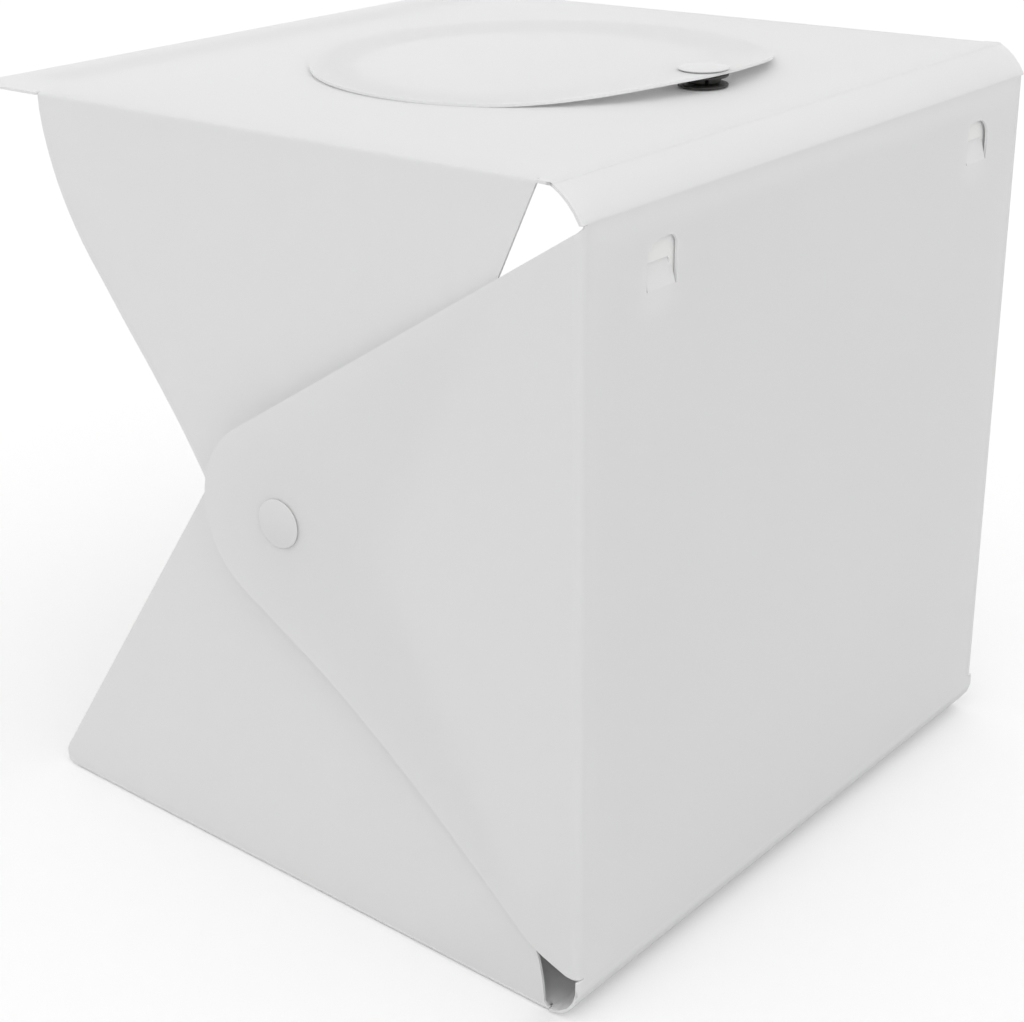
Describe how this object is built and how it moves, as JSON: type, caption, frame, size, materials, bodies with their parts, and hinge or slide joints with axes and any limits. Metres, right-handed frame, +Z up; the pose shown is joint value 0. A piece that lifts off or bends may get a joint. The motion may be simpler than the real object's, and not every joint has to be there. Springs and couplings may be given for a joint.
{
  "type": "light tent cube",
  "caption": "Folding white light tent cube: creased sheet with snapped side flaps, round top cover, light bar and swept backdrop.",
  "frame": {"origin": "centre of the footprint, on the surface that the bottom rests on", "axes": "+Z up, the open front faces -Y, +X to the right seen from the front"},
  "size_m": [0.248, 0.238, 0.2466],
  "materials": {
    "frosted_polypropylene": "frosted, slightly translucent white sheet",
    "white_acetal": "smooth white moulding",
    "black_acetal": "smooth dark moulding",
    "foam_tape": "white foam",
    "lamp_board": "white lacquered board with lamps",
    "plated_steel": "thin plated shell",
    "backdrop_vinyl": "plain matt white sheet"
  },
  "bodies": {
    "base": {"bottom_panel": "frosted_polypropylene"},
    "lower_spine": {"bottom_spine": "frosted_polypropylene"},
    "back": {"back_panel": "frosted_polypropylene"},
    "upper_spine": {"top_spine": "frosted_polypropylene"},
    "top": {"top_panel": "frosted_polypropylene", "cover_snap_stud": "black_acetal", "cover_snap_inner_cap": "white_acetal", "led_tape": "foam_tape", "led_housing": "black_acetal", "led_board": "lamp_board", "led_inlet": "plated_steel", "led_box_cover": "black_acetal"},
    "cover": {"top_cover": "frosted_polypropylene", "cover_snap_cap": "white_acetal", "cover_snap_socket": "black_acetal"},
    "button": {"led_button": "white_acetal"},
    "hung_backdrop": {"backdrop": "backdrop_vinyl"},
    "right_back_flap": {"back_flap_right": "frosted_polypropylene", "snap_cap_right": "white_acetal", "snap_socket_right": "black_acetal"},
    "right_bottom_flap": {"bottom_flap_right": "frosted_polypropylene", "snap_stud_right": "black_acetal"},
    "right_top_flap": {"top_flap_right": "frosted_polypropylene", "snap_inner_cap_right": "white_acetal"},
    "left_back_flap": {"back_flap_left": "frosted_polypropylene", "snap_cap_left": "white_acetal", "snap_socket_left": "black_acetal"},
    "left_bottom_flap": {"bottom_flap_left": "frosted_polypropylene", "snap_stud_left": "black_acetal"},
    "left_top_flap": {"top_flap_left": "frosted_polypropylene", "snap_inner_cap_left": "white_acetal"}
  },
  "joints": [
    {"name": "bottom_spine_fold", "type": "hinge", "parent": "base", "child": "lower_spine", "pos_m": [0, 0.109, 0], "axis": [-1, 0, 0], "range_deg": [0, 45]},
    {"name": "back_fold", "type": "hinge", "parent": "lower_spine", "child": "back", "pos_m": [0, 0.119, 0.01], "axis": [-1, 0, 0], "range_deg": [0, 45]},
    {"name": "top_spine_fold", "type": "hinge", "parent": "back", "child": "upper_spine", "pos_m": [0, 0.119, 0.2305], "axis": [-1, 0, 0], "range_deg": [0, 45]},
    {"name": "top_fold", "type": "hinge", "parent": "upper_spine", "child": "top", "pos_m": [0, 0.1095, 0.24], "axis": [-1, 0, 0], "range_deg": [0, 45]},
    {"name": "cover_swing", "type": "hinge", "parent": "top", "child": "cover", "pos_m": [-0.0022, 0.073, 0.242], "axis": [0, 0, 1], "range_deg": [-170, 55]},
    {"name": "button_press", "type": "slide", "parent": "top", "child": "button", "axis": [0, 1, 0], "range_m": [0, 0.0005], "stiffness_N_per_m": 400},
    {"name": "backdrop_lift", "type": "slide", "parent": "back", "child": "hung_backdrop", "axis": [0, 0, 1], "range_m": [0, 0.006]},
    {"name": "right_back_flap_fold", "type": "hinge", "parent": "back", "child": "right_back_flap", "pos_m": [0.1145, 0.119, 0.1265], "axis": [0, 0, 1], "range_deg": [0, 150]},
    {"name": "right_bottom_flap_fold", "type": "hinge", "parent": "base", "child": "right_bottom_flap", "pos_m": [0.1165, 0, 0], "axis": [0, 1, 0], "range_deg": [0, 88.5]},
    {"name": "right_top_flap_fold", "type": "hinge", "parent": "top", "child": "right_top_flap", "pos_m": [0.1153, 0, 0.2392], "axis": [0, 1, 0], "range_deg": [0, 86]},
    {"name": "left_back_flap_fold", "type": "hinge", "parent": "back", "child": "left_back_flap", "pos_m": [-0.1145, 0.119, 0.1265], "axis": [0, 0, -1], "range_deg": [0, 150]},
    {"name": "left_bottom_flap_fold", "type": "hinge", "parent": "base", "child": "left_bottom_flap", "pos_m": [-0.1165, 0, 0], "axis": [0, -1, 0], "range_deg": [0, 88.5]},
    {"name": "left_top_flap_fold", "type": "hinge", "parent": "top", "child": "left_top_flap", "pos_m": [-0.1153, 0, 0.2392], "axis": [0, -1, 0], "range_deg": [0, 83]}
  ],
  "couplings": [
    {"joint": "back_fold", "follows": "bottom_spine_fold", "ratio": 1},
    {"joint": "top_fold", "follows": "top_spine_fold", "ratio": 1},
    {"joint": "right_bottom_flap_fold", "follows": "right_back_flap_fold", "ratio": 0.59},
    {"joint": "left_bottom_flap_fold", "follows": "left_back_flap_fold", "ratio": 0.59}
  ]
}
